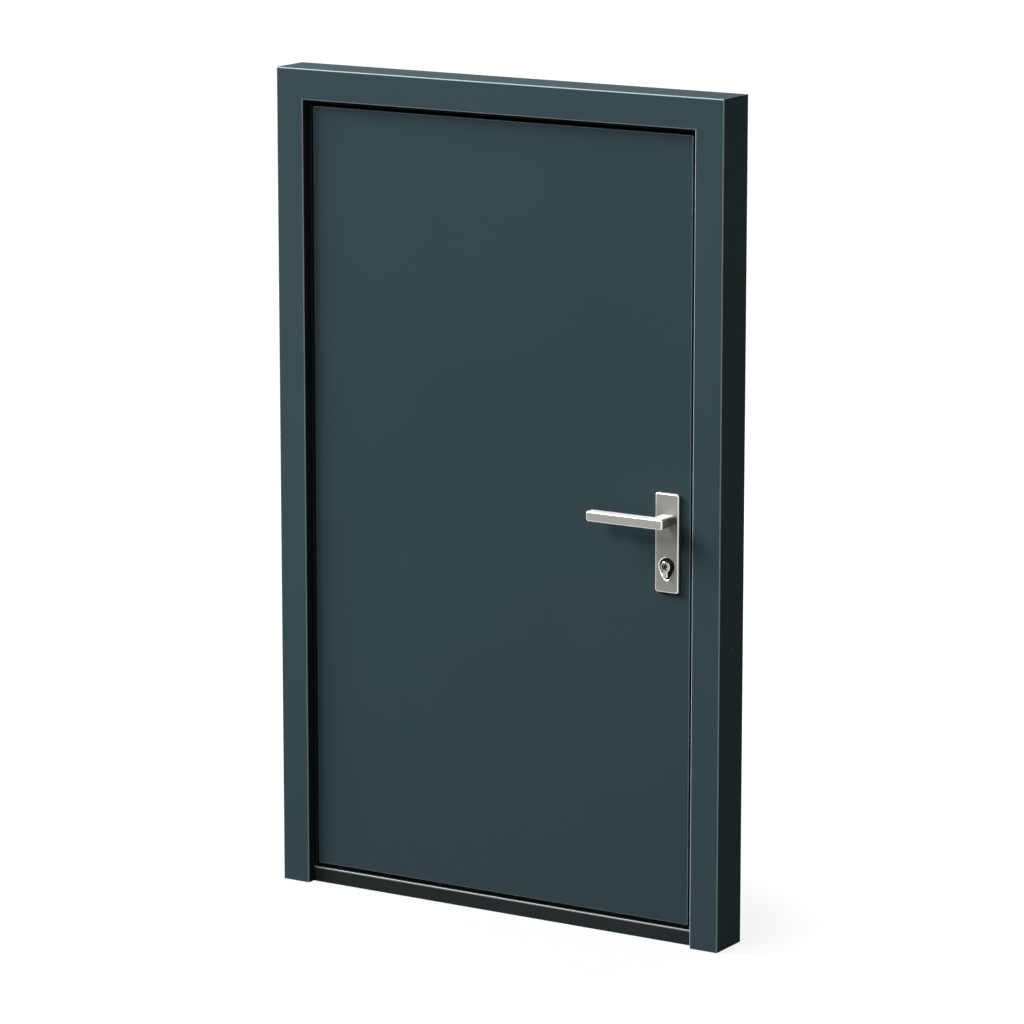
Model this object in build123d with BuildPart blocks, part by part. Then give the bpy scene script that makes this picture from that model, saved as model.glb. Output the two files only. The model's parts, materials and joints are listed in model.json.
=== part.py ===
"""Aluminium front door: a flush leaf in a three-sided frame with a low threshold.

Frame of reference: X runs to the right as seen from outside, Y runs inward, Z runs up.
The origin is on the underside of the threshold, at mid width and mid depth of the frame.
"""

import os

from build123d import *

# Driving dimensions of the frame, in millimetres
FRAME_WIDTH = 1280.0
FRAME_HEIGHT = 2100.0
FRAME_DEPTH = 120.0
FACE_WIDTH = 78.0
PROFILE_WALL = 3.0
EDGE_RADIUS = 3.0
REBATE_WIDTH = 25.0
REBATE_DEPTH = 32.0
GROOVE_SETBACK = 31.0
GROOVE_BLOCK = 14.0
ANCHOR_RADIUS = 5.5
ANCHOR_HEIGHTS = (200.0, 750.0, 1350.0, 1900.0)
ANCHOR_SETBACK = 62.0

# Leaf
LEAF_RECESS = 21.0
LEAF_BAND = 17.0
LEAF_BOTTOM = 52.0
LEAF_FLANGE = 36.0
FLANGE_GAP = 5.0
STILE_WIDTH = 92.0
SKIN_THICKNESS = 3.0
SKIN_EDGE_RADIUS = 1.6
EDGE_WALL = 8.0
BOTTOM_SEAL_REACH = 7.5
BOTTOM_SEAL_WIDTH = 12.0
BOTTOM_SEAL_RADIUS = 4.0

# Threshold and gaskets
THRESHOLD_HEIGHT = 39.0
THRESHOLD_SETBACK = 23.0
BASE_WALL = 4.0
TREAD_THICKNESS = 4.0
TREAD_RADIUS = 2.0
TREAD_NOSE = 5.0
INSERT_THICKNESS = 2.0
INSERT_RIB_PITCH = 7.0
INSERT_RIB_COUNT = 7
INSERT_GROOVE_WIDTH = 3.0
INSERT_GROOVE_DEPTH = 1.0
GASKET_REACH = 9.5
GASKET_THICKNESS = 10.0
GASKET_FOOT = 5.0
GASKET_TIP_RADIUS = 4.0

# Hinges
HINGE_HEIGHTS = {"lower": 260.0, "middle": 1040.0, "upper": 1820.0}
HINGE_OFFSET = 16.0
HINGE_HEIGHT = 120.0
LEAF_KNUCKLE = 42.0
KNUCKLE_GAP = 1.0
KNUCKLE_RADIUS = 10.0
PIN_RADIUS = 5.0
PIN_CLEARANCE = 0.05
PIN_CAP = 5.0
PIN_CAP_RADIUS = 3.0
WING_THICKNESS = 4.0
WING_NEAR = 11.0
WING_FAR = 50.0
WING_CORNER = 5.0
ARM_ROOT = 12.0
ARM_INNER = 3.0
ARM_LOW = 9.0
ARM_HIGH = 7.0

# Handle set and lock
BACKSET = 60.0
LEVER_HEIGHT = 1066.0
CYLINDER_DROP = 116.0
PLATE_WIDTH = 66.0
PLATE_HEIGHT = 247.0
PLATE_THICKNESS = 10.0
PLATE_TOP_ABOVE_LEVER = 65.0
PLATE_CORNER = 7.0
PLATE_EDGE_RADIUS = 4.2
LEVER_PROJECTION = 66.0
LEVER_LENGTH = 214.0
GRIP_HEIGHT = 26.0
GRIP_DEPTH = 24.0
GRIP_TIP_RADIUS = 7.0
GRIP_EDGE_RADIUS = 4.5
GRIP_BACK_BEVEL = 1.2
NECK_RIGHT_REACH = 24.0
NECK_LEFT_REACH = 10.0
NECK_GAP = 1.0
SHANK_RADIUS = 9.0
SHANK_CLEARANCE = 0.05
SPINDLE_SIDE = 8.0
SPINDLE_DEPTH = 20.0
GUARD_RADIUS = 21.0
GUARD_FOOT_RADIUS = 9.0
GUARD_FOOT_DROP = 24.0
GUARD_THICKNESS = 5.0
GUARD_RIM = 2.4
CYLINDER_RADIUS = 13.0
CYLINDER_WEB = 12.6
CYLINDER_FOOT = 22.0
CYLINDER_REACH = 8.0
CYLINDER_BEVEL = 1.4
PLUG_RADIUS = 9.2
PLUG_DEPTH = 24.0
PLUG_RECESS = 1.0
PLUG_NOSE_RADIUS = 7.2
PLUG_NOSE_LENGTH = 3.0
PLUG_NOSE_BEVEL = 0.6
KEYWAY_WIDTH = 3.4
KEYWAY_HEIGHT = 11.6
KEYWAY_WARD_WIDTH = 7.0
KEYWAY_WARD_HEIGHT = 3.0
KEYWAY_WARD_OFFSET = 2.6
KEYWAY_DEPTH = 16.0
FACEPLATE_WIDTH = 24.0
FACEPLATE_THICKNESS = 3.0
FACEPLATE_BOTTOM = 180.0
FACEPLATE_TOP = 1860.0
BOLT_DEPTH = 26.0
STRIKE_THICKNESS = 2.5
STRIKE_MARGIN = 40.0
STRIKE_CORNER = 6.0
WINDOW_PLAY = 2.0

# Planes and edges that follow from them
OUTER_FACE = -FRAME_DEPTH / 2
INNER_FACE = FRAME_DEPTH / 2
HALF_WIDTH = FRAME_WIDTH / 2
OPENING_EDGE = HALF_WIDTH - FACE_WIDTH
HEAD_UNDERSIDE = FRAME_HEIGHT - FACE_WIDTH
REBATE_EDGE = OPENING_EDGE + REBATE_WIDTH
REBATE_FLOOR = INNER_FACE - REBATE_DEPTH
LEAF_FACE = OUTER_FACE + LEAF_RECESS
LEAF_MIDDLE = (LEAF_FACE + INNER_FACE) / 2
LEAF_EDGE = OPENING_EDGE - LEAF_BAND
LEAF_TOP = HEAD_UNDERSIDE - LEAF_BAND
FLANGE_EDGE = LEAF_EDGE + LEAF_FLANGE
FLANGE_TOP = LEAF_TOP + LEAF_FLANGE
FLANGE_FACE = REBATE_FLOOR + FLANGE_GAP
STILE_FRONT = LEAF_FACE + SKIN_THICKNESS
STILE_BACK = INNER_FACE - SKIN_THICKNESS
STILE_INSIDE = LEAF_EDGE - STILE_WIDTH
THRESHOLD_FACE = OUTER_FACE + THRESHOLD_SETBACK
TREAD_UNDERSIDE = THRESHOLD_HEIGHT - TREAD_THICKNESS
GROOVE_CENTRE = OUTER_FACE + GROOVE_SETBACK
ANCHOR_Y = OUTER_FACE + ANCHOR_SETBACK
HANDLE_X = LEAF_EDGE - BACKSET
CYLINDER_HEIGHT = LEVER_HEIGHT - CYLINDER_DROP
PLATE_FACE = LEAF_FACE - PLATE_THICKNESS
PLATE_CENTRE = LEVER_HEIGHT + PLATE_TOP_ABOVE_LEVER - PLATE_HEIGHT / 2
LEVER_FACE = PLATE_FACE - LEVER_PROJECTION
HINGE_X = -(FLANGE_EDGE + REBATE_EDGE) / 2
HINGE_Y = INNER_FACE + HINGE_OFFSET

# The bolts in the faceplate, each with its middle height, its width and its length
BOLTS = {
    "lower_hook_bolt": (330.0, 10.0, 46.0),
    "dead_bolt": (CYLINDER_HEIGHT, 12.0, 40.0),
    "latch_bolt": (LEVER_HEIGHT, 12.0, 34.0),
    "upper_hook_bolt": (1710.0, 10.0, 46.0),
}

# Workplanes whose X points away from the opening and whose Y points inward
JAMB_PLANE = Plane(origin=(OPENING_EDGE, 0, 0), x_dir=(1, 0, 0), z_dir=(0, 0, 1))
HEAD_PLANE = Plane(origin=(0, 0, HEAD_UNDERSIDE), x_dir=(0, 0, 1), z_dir=(-1, 0, 0))
STILE_PLANE = Plane(origin=(LEAF_EDGE, 0, 0), x_dir=(1, 0, 0), z_dir=(0, 0, 1))
RAIL_PLANE = Plane(origin=(0, 0, LEAF_TOP), x_dir=(0, 0, 1), z_dir=(-1, 0, 0))

# The mitred corners of frame and leaf lie on the same 45 degree planes
LOCK_MITRE = Plane(origin=(OPENING_EDGE, 0, HEAD_UNDERSIDE), z_dir=(-1, 0, 1))
HINGE_MITRE = Plane(origin=(-OPENING_EDGE, 0, HEAD_UNDERSIDE), z_dir=(1, 0, 1))

# Planes that look at the door from outside, and the leaf's own middle plane
OUTSIDE_VIEW = Plane(origin=(0, 0, 0), x_dir=(1, 0, 0), z_dir=(0, -1, 0))
MIDDLE_PLANE = Plane(origin=(0, LEAF_MIDDLE, 0), z_dir=(0, 1, 0))

os.makedirs("parts", exist_ok=True)


def save(part, name):
    """Label a finished piece and write it under the same name."""
    part.label = name
    export_step(part, f"parts/{name}.step")


def outside_plane(depth):
    """Workplane parallel to the door's face at the given depth, seen from outside."""
    return OUTSIDE_VIEW.offset(-depth)


def chamber(left, right, front, back):
    """Cut one rectangular chamber out of the section that is being drawn."""
    with Locations(((left + right) / 2, (front + back) / 2)):
        Rectangle(right - left, back - front, mode=Mode.SUBTRACT)


def frame_section(plane):
    """Hollow frame profile with its stop, its inner rebate and the groove for the gasket."""
    with BuildSketch(plane) as section:
        with BuildLine():
            Polyline(
                (0, OUTER_FACE),
                (FACE_WIDTH, OUTER_FACE),
                (FACE_WIDTH, INNER_FACE),
                (REBATE_WIDTH, INNER_FACE),
                (REBATE_WIDTH, REBATE_FLOOR),
                (0, REBATE_FLOOR),
                close=True,
            )
        make_face()
        outer_corners = section.vertices().sort_by_distance((REBATE_WIDTH, REBATE_FLOOR))[1:]
        fillet(outer_corners, EDGE_RADIUS)
        inside = FACE_WIDTH - PROFILE_WALL
        half_zone = GASKET_FOOT / 2 + 2 * PROFILE_WALL
        chamber(PROFILE_WALL, inside, OUTER_FACE + PROFILE_WALL, GROOVE_CENTRE - half_zone)
        chamber(
            GROOVE_BLOCK,
            inside,
            GROOVE_CENTRE - half_zone + PROFILE_WALL,
            GROOVE_CENTRE + half_zone - PROFILE_WALL,
        )
        chamber(PROFILE_WALL, inside, GROOVE_CENTRE + half_zone, REBATE_FLOOR - PROFILE_WALL)
        chamber(REBATE_WIDTH + PROFILE_WALL, inside, REBATE_FLOOR, INNER_FACE - PROFILE_WALL)
        chamber(0, GASKET_FOOT, GROOVE_CENTRE - GASKET_FOOT / 2, GROOVE_CENTRE + GASKET_FOOT / 2)
    return section.sketch


def gasket_section(plane):
    """Rubber stop seal: a foot in the frame's groove and a rounded bulb toward the leaf."""
    with BuildSketch(plane) as section:
        with Locations((-GASKET_REACH / 2, GROOVE_CENTRE)):
            Rectangle(GASKET_REACH, GASKET_THICKNESS)
        fillet(section.vertices().group_by(Axis.X)[0], GASKET_TIP_RADIUS)
        with Locations((GASKET_FOOT / 2, GROOVE_CENTRE)):
            Rectangle(GASKET_FOOT, GASKET_FOOT)
    return section.sketch


def leaf_section(plane):
    """Hollow leaf profile: the flange on its inner side laps into the frame's rebate."""
    with BuildSketch(plane) as section:
        with BuildLine():
            Polyline(
                (0, STILE_FRONT),
                (0, FLANGE_FACE),
                (LEAF_FLANGE, FLANGE_FACE),
                (LEAF_FLANGE, STILE_BACK),
                (-STILE_WIDTH, STILE_BACK),
                (-STILE_WIDTH, STILE_FRONT),
                close=True,
            )
        make_face()
        inside = PROFILE_WALL - STILE_WIDTH
        chamber(inside, -EDGE_WALL, STILE_FRONT + PROFILE_WALL, FLANGE_FACE)
        chamber(
            inside,
            LEAF_FLANGE - PROFILE_WALL,
            FLANGE_FACE + PROFILE_WALL,
            STILE_BACK - PROFILE_WALL,
        )
    return section.sketch


def guard_outline(plane):
    """Egg-shaped outline of the cylinder guard: a large circle and a small one below it."""
    with BuildSketch(plane) as outline:
        with Locations((HANDLE_X, CYLINDER_HEIGHT)):
            Circle(GUARD_RADIUS)
        with Locations((HANDLE_X, CYLINDER_HEIGHT - GUARD_FOOT_DROP)):
            Circle(GUARD_FOOT_RADIUS)
        make_hull()
    return outline.sketch


def cylinder_outline(plane):
    """Profile cylinder: a round head with a narrower web that ends in a half circle."""
    with BuildSketch(plane) as outline:
        with Locations((HANDLE_X, CYLINDER_HEIGHT)):
            Circle(CYLINDER_RADIUS)
        with Locations((HANDLE_X, CYLINDER_HEIGHT - CYLINDER_FOOT / 2)):
            Rectangle(CYLINDER_WEB, CYLINDER_FOOT)
        with Locations((HANDLE_X, CYLINDER_HEIGHT - CYLINDER_FOOT)):
            Circle(CYLINDER_WEB / 2)
    return outline.sketch


def edge_slot(depth, bottom, top):
    """Upright plate with round ends on the leaf's edge or the jamb, as wide as the faceplate."""
    with BuildSketch(Plane.YZ.offset(depth)) as outline:
        with Locations((0, (bottom + top) / 2)):
            SlotOverall(top - bottom, FACEPLATE_WIDTH, rotation=90)
    return outline.sketch


def mirrored(part, plane):
    """The same piece on the other side of a plane."""
    with BuildPart() as twin:
        add(part)
        mirror(about=plane, mode=Mode.REPLACE)
    return twin.part


# Outer shape of the whole frame, rounded at its two upper corners
with BuildPart() as envelope:
    with BuildSketch(outside_plane(INNER_FACE)) as frame_outline:
        with Locations((0, FRAME_HEIGHT / 2)):
            Rectangle(FRAME_WIDTH, FRAME_HEIGHT)
        fillet(frame_outline.vertices().group_by(Axis.Y)[-1], EDGE_RADIUS)
    extrude(amount=FRAME_DEPTH)

# Frame: two jambs and a head, mitred at the upper corners
jamb_profile = frame_section(JAMB_PLANE)
with BuildPart() as plain_jamb:
    extrude(jamb_profile, amount=FRAME_HEIGHT)
    split(bisect_by=LOCK_MITRE, keep=Keep.BOTTOM)
    add(envelope.part, mode=Mode.INTERSECT)
    with BuildSketch(Plane.YZ.offset(OPENING_EDGE)):
        with Locations(*[(ANCHOR_Y, height) for height in ANCHOR_HEIGHTS]):
            Circle(ANCHOR_RADIUS)
    extrude(amount=FACE_WIDTH, mode=Mode.SUBTRACT)
save(mirrored(plain_jamb.part, Plane.YZ), "hinge_jamb")

with BuildPart() as lock_jamb:
    add(plain_jamb.part)
    for bolt_height, bolt_width, bolt_length in BOLTS.values():
        with Locations((OPENING_EDGE + PROFILE_WALL / 2, 0, bolt_height)):
            Box(PROFILE_WALL, bolt_width + WINDOW_PLAY, bolt_length + WINDOW_PLAY, mode=Mode.SUBTRACT)
save(lock_jamb.part, "lock_jamb")

head_profile = frame_section(HEAD_PLANE)
with BuildPart() as frame_head:
    extrude(head_profile, amount=HALF_WIDTH, both=True)
    split(bisect_by=LOCK_MITRE, keep=Keep.TOP)
    split(bisect_by=HINGE_MITRE, keep=Keep.TOP)
    add(envelope.part, mode=Mode.INTERSECT)
save(frame_head.part, "frame_head")

# Stop seals in the frame's groove; those of the jambs stand on the threshold
jamb_seal_profile = gasket_section(JAMB_PLANE.offset(THRESHOLD_HEIGHT))
with BuildPart() as lock_side_gasket:
    extrude(jamb_seal_profile, amount=FRAME_HEIGHT - THRESHOLD_HEIGHT)
    split(bisect_by=LOCK_MITRE, keep=Keep.BOTTOM)
save(lock_side_gasket.part, "lock_side_gasket")
save(mirrored(lock_side_gasket.part, Plane.YZ), "hinge_side_gasket")

head_seal_profile = gasket_section(HEAD_PLANE)
with BuildPart() as head_gasket:
    extrude(head_seal_profile, amount=HALF_WIDTH, both=True)
    split(bisect_by=LOCK_MITRE, keep=Keep.TOP)
    split(bisect_by=HINGE_MITRE, keep=Keep.TOP)
save(head_gasket.part, "head_gasket")


def threshold_outline(plane):
    """Plan of the threshold: between the stops in front, between the rebates behind."""
    with BuildSketch(plane) as outline:
        with Locations((0, (THRESHOLD_FACE + INNER_FACE) / 2)):
            Rectangle(2 * OPENING_EDGE, INNER_FACE - THRESHOLD_FACE)
        with Locations((0, (REBATE_FLOOR + INNER_FACE) / 2)):
            Rectangle(2 * REBATE_EDGE, REBATE_DEPTH)
    return outline.sketch


# Threshold: a dark hollow base between the jambs under a bright aluminium tread
base_plan = threshold_outline(Plane.XY)
base_middle = (THRESHOLD_FACE + REBATE_FLOOR) / 2
base_chamber = (REBATE_FLOOR - THRESHOLD_FACE - 3 * BASE_WALL) / 2
with BuildPart() as threshold_base:
    extrude(base_plan, amount=TREAD_UNDERSIDE)
    with BuildSketch(Plane.YZ.offset(-OPENING_EDGE)):
        with Locations((base_middle, TREAD_UNDERSIDE / 2)):
            with GridLocations(base_chamber + BASE_WALL, 0, 2, 1):
                Rectangle(base_chamber, TREAD_UNDERSIDE - 2 * BASE_WALL)
    extrude(amount=2 * OPENING_EDGE, mode=Mode.SUBTRACT)
save(threshold_base.part, "threshold_base")

tread_plan = threshold_outline(Plane.XY.offset(TREAD_UNDERSIDE))
with BuildPart() as threshold_tread:
    extrude(tread_plan, amount=TREAD_THICKNESS)
    fillet(threshold_tread.faces().sort_by(Axis.Y)[0].edges().sort_by(Axis.Z)[-1], TREAD_RADIUS)
    with BuildSketch(Plane.XY.offset(THRESHOLD_HEIGHT)) as insert_plan:
        with Locations((0, base_middle)):
            Rectangle(2 * OPENING_EDGE, REBATE_FLOOR - THRESHOLD_FACE - 2 * TREAD_NOSE)
    extrude(amount=-INSERT_THICKNESS, mode=Mode.SUBTRACT)
save(threshold_tread.part, "threshold_tread")

# Ribbed rubber insert, let into the tread flush with it
with BuildPart() as threshold_insert:
    extrude(insert_plan.sketch, amount=-INSERT_THICKNESS)
    with BuildSketch(Plane.XY.offset(THRESHOLD_HEIGHT)):
        with Locations((0, base_middle)):
            with GridLocations(0, INSERT_RIB_PITCH, 1, INSERT_RIB_COUNT):
                Rectangle(2 * OPENING_EDGE, INSERT_GROOVE_WIDTH)
    extrude(amount=-INSERT_GROOVE_DEPTH, mode=Mode.SUBTRACT)
save(threshold_insert.part, "threshold_insert")

# Leaf: stiles and top rail mitred like the frame, bottom rail between the stiles
stile_profile = leaf_section(STILE_PLANE.offset(LEAF_BOTTOM))
spindle_bore = SHANK_RADIUS + PROFILE_WALL
faceplate_profile = edge_slot(LEAF_EDGE, FACEPLATE_BOTTOM, FACEPLATE_TOP)
cylinder_cut = cylinder_outline(outside_plane(LEAF_FACE))
with BuildPart() as plain_stile:
    extrude(stile_profile, amount=FLANGE_TOP - LEAF_BOTTOM)
    split(bisect_by=LOCK_MITRE, keep=Keep.BOTTOM)
save(mirrored(plain_stile.part, Plane.YZ), "hinge_stile")

with BuildPart() as lock_stile:
    add(plain_stile.part)
    extrude(faceplate_profile, amount=-FACEPLATE_THICKNESS, mode=Mode.SUBTRACT)
    for bolt_height, bolt_width, bolt_length in BOLTS.values():
        with Locations((LEAF_EDGE - BOLT_DEPTH / 2, 0, bolt_height)):
            Box(BOLT_DEPTH, bolt_width, bolt_length, mode=Mode.SUBTRACT)
    extrude(cylinder_cut, amount=-FRAME_DEPTH, mode=Mode.SUBTRACT)
    with BuildSketch(outside_plane(LEAF_FACE)):
        with Locations((HANDLE_X, LEVER_HEIGHT)):
            Circle(spindle_bore)
    extrude(amount=-FRAME_DEPTH, mode=Mode.SUBTRACT)
save(lock_stile.part, "lock_stile")

rail_profile = leaf_section(RAIL_PLANE)
with BuildPart() as top_rail:
    extrude(rail_profile, amount=FLANGE_EDGE, both=True)
    split(bisect_by=LOCK_MITRE, keep=Keep.TOP)
    split(bisect_by=HINGE_MITRE, keep=Keep.TOP)
save(top_rail.part, "top_rail")

with BuildPart() as bottom_rail:
    with BuildSketch(Plane.YZ.offset(-STILE_INSIDE)):
        with Locations((LEAF_MIDDLE, LEAF_BOTTOM + STILE_WIDTH / 2)):
            Rectangle(STILE_BACK - STILE_FRONT, STILE_WIDTH)
        chamber(
            STILE_FRONT + PROFILE_WALL,
            STILE_BACK - PROFILE_WALL,
            LEAF_BOTTOM + EDGE_WALL,
            LEAF_BOTTOM + STILE_WIDTH - PROFILE_WALL,
        )
        chamber(
            LEAF_MIDDLE - BOTTOM_SEAL_WIDTH / 2,
            LEAF_MIDDLE + BOTTOM_SEAL_WIDTH / 2,
            LEAF_BOTTOM,
            LEAF_BOTTOM + EDGE_WALL / 2,
        )
    extrude(amount=2 * STILE_INSIDE)
save(bottom_rail.part, "bottom_rail")

with BuildPart() as bottom_seal:
    with Locations((0, LEAF_MIDDLE, LEAF_BOTTOM + (EDGE_WALL / 2 - BOTTOM_SEAL_REACH) / 2)):
        Box(2 * STILE_INSIDE, BOTTOM_SEAL_WIDTH, EDGE_WALL / 2 + BOTTOM_SEAL_REACH)
    fillet(bottom_seal.edges().filter_by(Axis.X).group_by(Axis.Z)[0], BOTTOM_SEAL_RADIUS)
save(bottom_seal.part, "bottom_seal")


def skin(front, half_width, top, shown):
    """One sheet of the leaf, rounded on its shown face, cut out for the spindle and the lock cylinder."""
    with BuildPart() as sheet:
        with BuildSketch(outside_plane(front)):
            with Locations((0, (LEAF_BOTTOM + top) / 2)):
                Rectangle(2 * half_width, top - LEAF_BOTTOM)
        extrude(amount=-SKIN_THICKNESS)
        fillet(sheet.faces().sort_by(Axis.Y)[shown].edges(), SKIN_EDGE_RADIUS)
        with BuildSketch(outside_plane(front)):
            with Locations((HANDLE_X, LEVER_HEIGHT)):
                Circle(spindle_bore)
        extrude(amount=-SKIN_THICKNESS, mode=Mode.SUBTRACT)
        extrude(cylinder_cut, amount=-FRAME_DEPTH, mode=Mode.SUBTRACT)
    return sheet.part


save(skin(LEAF_FACE, LEAF_EDGE, LEAF_TOP, 0), "outer_skin")
save(skin(STILE_BACK, FLANGE_EDGE, FLANGE_TOP, -1), "inner_skin")

# Handle plate with its bore for the lever and its egg-shaped cut-out for the cylinder guard
plate_cut = guard_outline(outside_plane(LEAF_FACE))
with BuildPart() as outside_plate:
    with BuildSketch(outside_plane(LEAF_FACE)):
        with Locations((HANDLE_X, PLATE_CENTRE)):
            RectangleRounded(PLATE_WIDTH, PLATE_HEIGHT, PLATE_CORNER)
    extrude(amount=PLATE_THICKNESS)
    fillet(outside_plate.faces().sort_by(Axis.Y)[0].edges(), PLATE_EDGE_RADIUS)
    extrude(plate_cut, amount=PLATE_THICKNESS, mode=Mode.SUBTRACT)
    chamfer(outside_plate.faces().sort_by(Axis.Y)[0].inner_wires().edges(), GUARD_RIM)
    with BuildSketch(outside_plane(LEAF_FACE)):
        with Locations((HANDLE_X, LEVER_HEIGHT)):
            Circle(SHANK_RADIUS + SHANK_CLEARANCE)
    extrude(amount=PLATE_THICKNESS, mode=Mode.SUBTRACT)
save(outside_plate.part, "outside_plate")
save(mirrored(outside_plate.part, MIDDLE_PLANE), "inside_plate")

with BuildPart() as outside_guard:
    extrude(plate_cut, amount=GUARD_THICKNESS)
    extrude(cylinder_cut, amount=GUARD_THICKNESS, mode=Mode.SUBTRACT)
save(outside_guard.part, "outside_cylinder_guard")
save(mirrored(outside_guard.part, MIDDLE_PLANE), "inside_cylinder_guard")

# Lock cylinder through the leaf, with a plug and keyway at each end
cylinder_front = PLATE_FACE - CYLINDER_REACH
cylinder_length = 2 * (LEAF_MIDDLE - cylinder_front)
cylinder_profile = cylinder_outline(outside_plane(cylinder_front))
with BuildPart() as lock_cylinder:
    extrude(cylinder_profile, amount=-cylinder_length)
    cylinder_ends = lock_cylinder.faces().filter_by(Axis.Y).sort_by(Axis.Y)
    chamfer(cylinder_ends[0].edges() + cylinder_ends[-1].edges(), CYLINDER_BEVEL)
    with BuildSketch(outside_plane(cylinder_front)):
        with Locations((HANDLE_X, CYLINDER_HEIGHT)):
            Circle(PLUG_RADIUS)
    extrude(amount=-PLUG_DEPTH, mode=Mode.SUBTRACT)
    with BuildSketch(outside_plane(cylinder_front + cylinder_length)):
        with Locations((HANDLE_X, CYLINDER_HEIGHT)):
            Circle(PLUG_RADIUS)
    extrude(amount=PLUG_DEPTH, mode=Mode.SUBTRACT)
save(lock_cylinder.part, "lock_cylinder")

plug_front = cylinder_front + PLUG_RECESS
with BuildPart() as outside_plug:
    with BuildSketch(outside_plane(plug_front)):
        with Locations((HANDLE_X, CYLINDER_HEIGHT)):
            Circle(PLUG_NOSE_RADIUS)
    extrude(amount=-PLUG_NOSE_LENGTH)
    chamfer(outside_plug.faces().sort_by(Axis.Y)[0].edges(), PLUG_NOSE_BEVEL)
    with BuildSketch(outside_plane(plug_front + PLUG_NOSE_LENGTH)):
        with Locations((HANDLE_X, CYLINDER_HEIGHT)):
            Circle(PLUG_RADIUS)
    extrude(amount=PLUG_RECESS + PLUG_NOSE_LENGTH - PLUG_DEPTH)
    with BuildSketch(outside_plane(plug_front)):
        with Locations((HANDLE_X, CYLINDER_HEIGHT)):
            Rectangle(KEYWAY_WIDTH, KEYWAY_HEIGHT)
        with Locations(
            (HANDLE_X + KEYWAY_WARD_WIDTH / 4, CYLINDER_HEIGHT + KEYWAY_WARD_OFFSET),
            (HANDLE_X - KEYWAY_WARD_WIDTH / 4, CYLINDER_HEIGHT - KEYWAY_WARD_OFFSET),
        ):
            Rectangle(KEYWAY_WARD_WIDTH / 2, KEYWAY_WARD_HEIGHT)
    extrude(amount=-KEYWAY_DEPTH, mode=Mode.SUBTRACT)
save(outside_plug.part, "outside_cylinder_plug")
save(mirrored(outside_plug.part, MIDDLE_PLANE), "inside_cylinder_plug")

# Lever: one rounded blank, cut on a mitre into grip and neck, with a round shank in the plate
neck_right = HANDLE_X + NECK_RIGHT_REACH
neck_left = HANDLE_X - NECK_LEFT_REACH
neck_end = PLATE_FACE - NECK_GAP
grip_tip = neck_right - LEVER_LENGTH
grip_back = LEVER_FACE + GRIP_DEPTH
spindle_end = neck_end - SPINDLE_DEPTH
LEVER_MITRE = Plane(
    origin=(neck_right, LEVER_FACE, LEVER_HEIGHT),
    z_dir=(GRIP_DEPTH, neck_right - neck_left, 0),
)
with BuildPart() as lever_blank:
    with BuildSketch(Plane.XY.offset(LEVER_HEIGHT - GRIP_HEIGHT / 2)):
        with BuildLine():
            Polyline(
                (grip_tip, LEVER_FACE),
                (neck_right, LEVER_FACE),
                (neck_right, neck_end),
                (neck_left, neck_end),
                (neck_left, grip_back),
                (grip_tip, grip_back),
                close=True,
            )
        make_face()
    extrude(amount=GRIP_HEIGHT)
    fillet(lever_blank.faces().sort_by(Axis.X)[0].edges().filter_by(Axis.Y), GRIP_TIP_RADIUS)
    front_edges = lever_blank.faces().sort_by(Axis.Y)[0].edges()
    side_edges = lever_blank.faces().sort_by(Axis.X)[-1].edges().filter_by(Axis.Y)
    fillet(front_edges + side_edges, GRIP_EDGE_RADIUS)
    back_edges = lever_blank.edges().filter_by(Axis.X).group_by(Axis.Y)[-2]
    chamfer(back_edges, GRIP_BACK_BEVEL)

with BuildPart() as outside_grip:
    add(lever_blank.part)
    split(bisect_by=LEVER_MITRE, keep=Keep.BOTTOM)
save(outside_grip.part, "outside_lever_grip")
save(mirrored(outside_grip.part, MIDDLE_PLANE), "inside_lever_grip")

with BuildPart() as outside_neck:
    add(lever_blank.part)
    split(bisect_by=LEVER_MITRE, keep=Keep.TOP)
    with BuildSketch(outside_plane(neck_end)):
        with Locations((HANDLE_X, LEVER_HEIGHT)):
            Circle(SHANK_RADIUS)
    extrude(amount=neck_end - LEAF_FACE)
    with BuildSketch(outside_plane(LEAF_FACE)):
        with Locations((HANDLE_X, LEVER_HEIGHT)):
            Rectangle(SPINDLE_SIDE, SPINDLE_SIDE)
    extrude(amount=LEAF_FACE - spindle_end, mode=Mode.SUBTRACT)
save(outside_neck.part, "outside_lever_neck")
save(mirrored(outside_neck.part, MIDDLE_PLANE), "inside_lever_neck")

with BuildPart() as lever_spindle:
    with Locations((HANDLE_X, LEAF_MIDDLE, LEVER_HEIGHT)):
        Box(SPINDLE_SIDE, 2 * (LEAF_MIDDLE - spindle_end), SPINDLE_SIDE)
save(lever_spindle.part, "lever_spindle")

# Lock faceplate in the leaf's edge, with the bolts drawn back flush with it
with BuildPart() as lock_faceplate:
    extrude(faceplate_profile, amount=-FACEPLATE_THICKNESS)
    for bolt_height, bolt_width, bolt_length in BOLTS.values():
        with Locations((LEAF_EDGE - FACEPLATE_THICKNESS / 2, 0, bolt_height)):
            Box(FACEPLATE_THICKNESS, bolt_width, bolt_length, mode=Mode.SUBTRACT)
save(lock_faceplate.part, "lock_faceplate")

for bolt_name, (bolt_height, bolt_width, bolt_length) in BOLTS.items():
    with BuildPart() as bolt:
        with Locations((LEAF_EDGE - BOLT_DEPTH / 2, 0, bolt_height)):
            Box(BOLT_DEPTH, bolt_width, bolt_length)
    save(bolt.part, bolt_name)

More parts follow.
